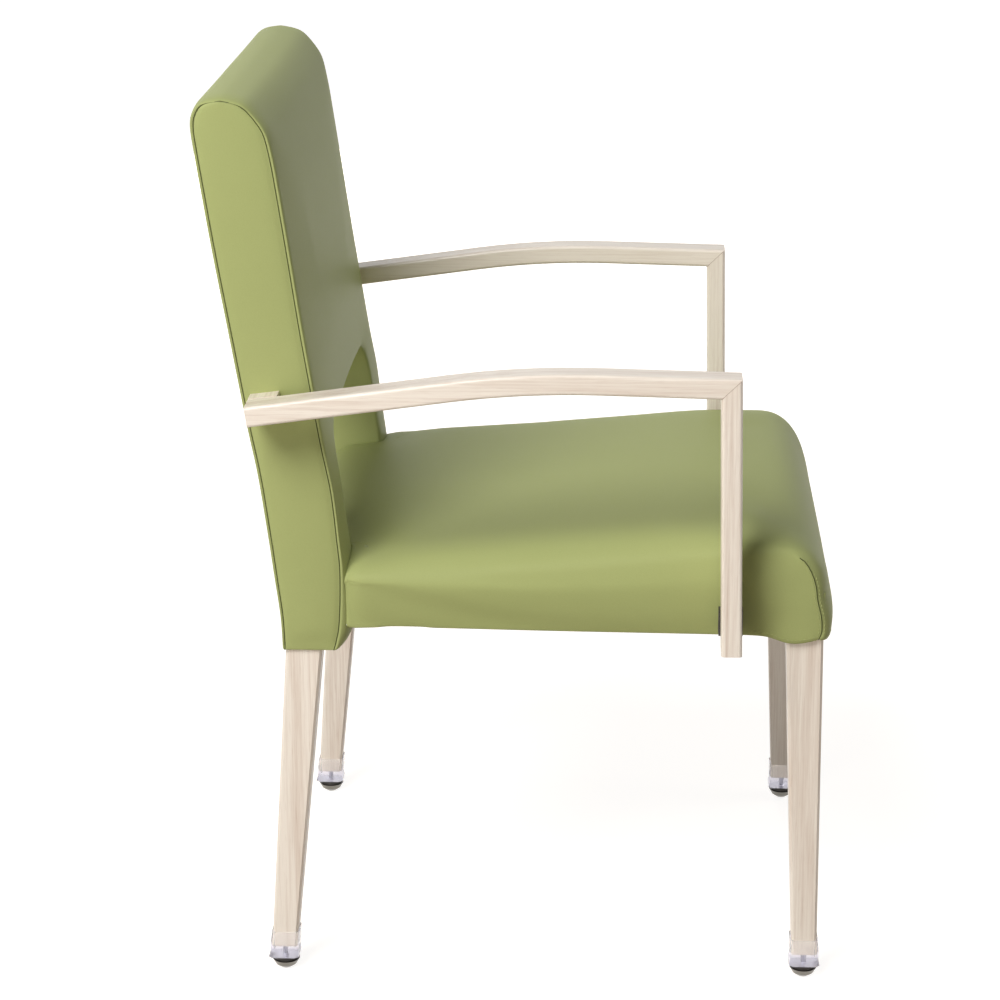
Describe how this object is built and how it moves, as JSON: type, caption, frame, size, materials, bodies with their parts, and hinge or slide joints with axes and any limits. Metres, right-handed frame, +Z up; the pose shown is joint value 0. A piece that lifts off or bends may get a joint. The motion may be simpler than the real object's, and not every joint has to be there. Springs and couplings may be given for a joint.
{
  "type": "upholstered armchair",
  "caption": "Upholstered armchair with a wood-grain aluminium tube frame, bent mitred arms, a clean-out gap under the back and tilting floor glides.",
  "frame": {"origin": "on the floor, under the middle of the chair's bounding box", "axes": "+Z up, the sitter faces -Y, +X to the sitter's left"},
  "size_m": [0.618, 0.6336, 0.9223],
  "materials": {
    "woodgrain": "pale wood-grain coating, satin",
    "frame_metal": "mill finish",
    "plywood": "sanded",
    "vinyl": "fine grain, soft sheen",
    "foam": "open cell",
    "dust_cloth": "non-woven",
    "clear_plastic": "clear, slightly tinted",
    "black_plastic": "moulded",
    "nickel": "nickel plate",
    "steel": "zinc plate"
  },
  "bodies": {
    "chair": {"arm_bolts": "steel", "arm_post_left": "woodgrain", "arm_post_right": "woodgrain", "arm_rail_left": "woodgrain", "arm_rail_right": "woodgrain", "arm_return_left": "woodgrain", "arm_return_right": "woodgrain", "arm_spacer_left": "black_plastic", "arm_spacer_right": "black_plastic", "back_board": "plywood", "back_cover": "vinyl", "back_foam": "foam", "back_lower_rail": "frame_metal", "back_outer_board": "plywood", "back_side_panel_left": "vinyl", "back_side_panel_right": "vinyl", "back_top_rail": "frame_metal", "boot_front_left": "clear_plastic", "boot_front_right": "clear_plastic", "boot_rear_left": "clear_plastic", "boot_rear_right": "clear_plastic", "corner_braces": "frame_metal", "front_leg_left": "woodgrain", "front_leg_right": "woodgrain", "glide_studs": "steel", "post_plug_left": "black_plastic", "post_plug_right": "black_plastic", "rear_leg_left": "woodgrain", "rear_leg_right": "woodgrain", "seat_board": "plywood", "seat_cover": "vinyl", "seat_dust_cover": "dust_cloth", "seat_foam": "foam", "seat_rail_front": "frame_metal", "seat_rail_left": "frame_metal", "seat_rail_rear": "frame_metal", "seat_rail_right": "frame_metal", "seat_screws": "steel"},
    "glide_front_left": {"glide_base_front_left": "nickel", "glide_collar_front_left": "black_plastic"},
    "glide_front_right": {"glide_base_front_right": "nickel", "glide_collar_front_right": "black_plastic"},
    "glide_rear_left": {"glide_base_rear_left": "nickel", "glide_collar_rear_left": "black_plastic"},
    "glide_rear_right": {"glide_base_rear_right": "nickel", "glide_collar_rear_right": "black_plastic"}
  },
  "joints": [
    {"name": "glide_tilt_front_left", "type": "hinge", "parent": "chair", "child": "glide_front_left", "pos_m": [0.2378, -0.2975, 0.009], "axis": [1, 0, 0], "range_deg": [-7, 7]},
    {"name": "glide_tilt_front_right", "type": "hinge", "parent": "chair", "child": "glide_front_right", "pos_m": [-0.2378, -0.2975, 0.009], "axis": [1, 0, 0], "range_deg": [-7, 7]},
    {"name": "glide_tilt_rear_left", "type": "hinge", "parent": "chair", "child": "glide_rear_left", "pos_m": [0.2378, 0.244, 0.009], "axis": [1, 0, 0], "range_deg": [-7, 7]},
    {"name": "glide_tilt_rear_right", "type": "hinge", "parent": "chair", "child": "glide_rear_right", "pos_m": [-0.2378, 0.244, 0.009], "axis": [1, 0, 0], "range_deg": [-7, 7]}
  ]
}
